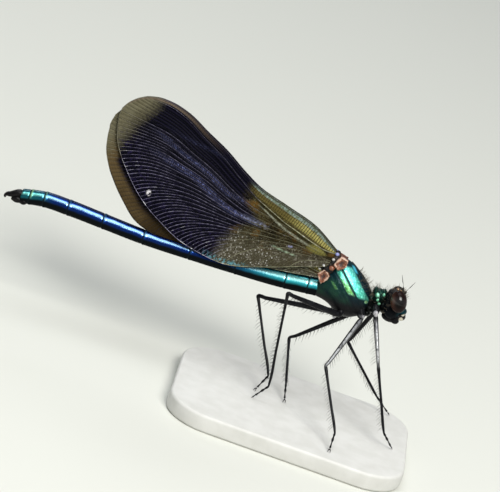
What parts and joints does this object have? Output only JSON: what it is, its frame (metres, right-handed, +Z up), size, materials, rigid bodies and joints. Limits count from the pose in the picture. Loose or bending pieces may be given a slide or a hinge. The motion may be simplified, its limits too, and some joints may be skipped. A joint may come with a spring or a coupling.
{
  "type": "demoiselle damselfly display model",
  "caption": "Life-size male demoiselle damselfly with metallic body and closed dark wings, standing on a flat base.",
  "frame": {"origin": "centre of the bounding box's bottom face, on the underside of the stand's base", "axes": "+X towards the head, +Y to the animal's left, +Z up; the long tail points to -X"},
  "size_m": [0.0526, 0.0216, 0.0295],
  "materials": {
    "green_metal": "metallic green to turquoise shell",
    "blue_metal": "metallic deep blue shell",
    "teal_metal": "metallic teal shell",
    "black_shell": "satin black shell",
    "dark_eye": "glossy dark red-brown",
    "pale_mouth": "black with pale spots",
    "dark_wing": "blue-black with a violet sheen, olive at the root",
    "brown_wing": "smoky brown",
    "rust_plate": "rusty orange with pale rims",
    "stand_grey": "matt pale grey"
  },
  "bodies": {
    "root": {"abdomen_1": "teal_metal", "abdomen_10": "teal_metal", "abdomen_2": "teal_metal", "abdomen_3": "blue_metal", "abdomen_4": "blue_metal", "abdomen_5": "blue_metal", "abdomen_6": "blue_metal", "abdomen_7": "blue_metal", "abdomen_8": "blue_metal", "abdomen_9": "teal_metal", "antenna_left": "black_shell", "antenna_right": "black_shell", "cercus_left": "black_shell", "cercus_right": "black_shell", "coxa_front_left": "black_shell", "coxa_front_right": "black_shell", "coxa_hind_left": "black_shell", "coxa_hind_right": "black_shell", "coxa_middle_left": "black_shell", "coxa_middle_right": "black_shell", "eye_left": "dark_eye", "eye_right": "dark_eye", "femur_front_left": "black_shell", "femur_front_right": "black_shell", "femur_hind_left": "black_shell", "femur_hind_right": "black_shell", "femur_middle_left": "black_shell", "femur_middle_right": "black_shell", "forewing_left": "dark_wing", "forewing_right": "dark_wing", "head": "black_shell", "hindwing_left": "brown_wing", "hindwing_right": "brown_wing", "labium": "black_shell", "labrum": "pale_mouth", "paraproct_left": "black_shell", "paraproct_right": "black_shell", "prothorax": "green_metal", "sclerite_front_left": "rust_plate", "sclerite_front_right": "rust_plate", "sclerite_rear_left": "rust_plate", "sclerite_rear_right": "rust_plate", "stand_base": "stand_grey", "tarsus_front_left": "black_shell", "tarsus_front_right": "black_shell", "tarsus_hind_left": "black_shell", "tarsus_hind_right": "black_shell", "tarsus_middle_left": "black_shell", "tarsus_middle_right": "black_shell", "thorax": "green_metal", "tibia_front_left": "black_shell", "tibia_front_right": "black_shell", "tibia_hind_left": "black_shell", "tibia_hind_right": "black_shell", "tibia_middle_left": "black_shell", "tibia_middle_right": "black_shell"}
  },
  "joints": []
}
